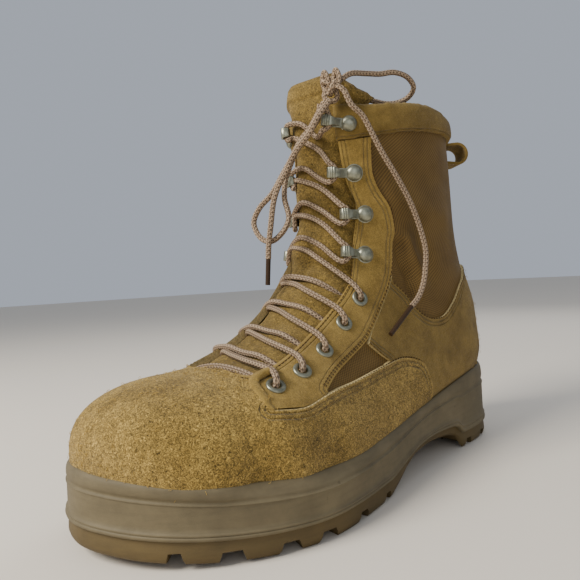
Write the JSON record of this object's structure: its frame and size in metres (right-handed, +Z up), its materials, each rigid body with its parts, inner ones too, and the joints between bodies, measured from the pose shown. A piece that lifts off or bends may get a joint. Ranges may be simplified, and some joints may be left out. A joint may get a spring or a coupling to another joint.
{
  "type": "combat boot",
  "caption": "Left coyote suede and nylon combat boot, eight-inch, five eyelets and four lace hooks a side, standing empty on its lugged rubber sole with the lace tied.",
  "frame": {"origin": "on the floor under the heel, 45 mm in front of the heel's back edge", "axes": "-Y towards the toe, +X towards the wearer's left (lateral side), +Z up"},
  "size_m": [0.1335, 0.3136, 0.2536],
  "materials": {
    "suede": "coyote rough-out suede, matte, fibrous nap",
    "nylon": "brown ballistic nylon, plain weave, matte",
    "wall_rubber": "olive taupe moulded rubber, matte",
    "tread_rubber": "brown moulded rubber, matte",
    "board": "tan felt on a footbed, matte",
    "eyelet_metal": "olive grey lacquered steel, satin",
    "cord": "tan round braid with dark brown flecks"
  },
  "bodies": {
    "root": {"outsole": "tread_rubber", "midsole": "wall_rubber", "insole": "board", "upper": "nylon", "tongue": "suede", "vamp": "suede", "counter": "suede", "eyestay_lateral": "suede", "eyestay_medial": "suede", "collar_cuff": "suede", "backstay": "suede", "pull_loop": "suede", "eyelet_lateral_1": "eyelet_metal", "eyelet_medial_1": "eyelet_metal", "eyelet_lateral_2": "eyelet_metal", "eyelet_medial_2": "eyelet_metal", "eyelet_lateral_3": "eyelet_metal", "eyelet_medial_3": "eyelet_metal", "eyelet_lateral_4": "eyelet_metal", "eyelet_medial_4": "eyelet_metal", "eyelet_lateral_5": "eyelet_metal", "eyelet_medial_5": "eyelet_metal", "hook_lateral_1": "eyelet_metal", "hook_medial_1": "eyelet_metal", "hook_lateral_2": "eyelet_metal", "hook_medial_2": "eyelet_metal", "hook_lateral_3": "eyelet_metal", "hook_medial_3": "eyelet_metal", "hook_lateral_4": "eyelet_metal", "hook_medial_4": "eyelet_metal", "lace_bar": "cord", "lace_crossing_1": "cord", "lace_crossing_2": "cord", "lace_crossing_3": "cord", "lace_crossing_4": "cord", "lace_crossing_5": "cord", "lace_crossing_6": "cord", "lace_crossing_7": "cord", "lace_crossing_8": "cord", "lace_knot": "cord", "lace_loop_long": "cord", "lace_loop_back": "cord", "lace_end_lateral": "cord", "lace_end_front": "cord", "aglet_lateral": "cord", "aglet_front": "cord"}
  },
  "joints": []
}
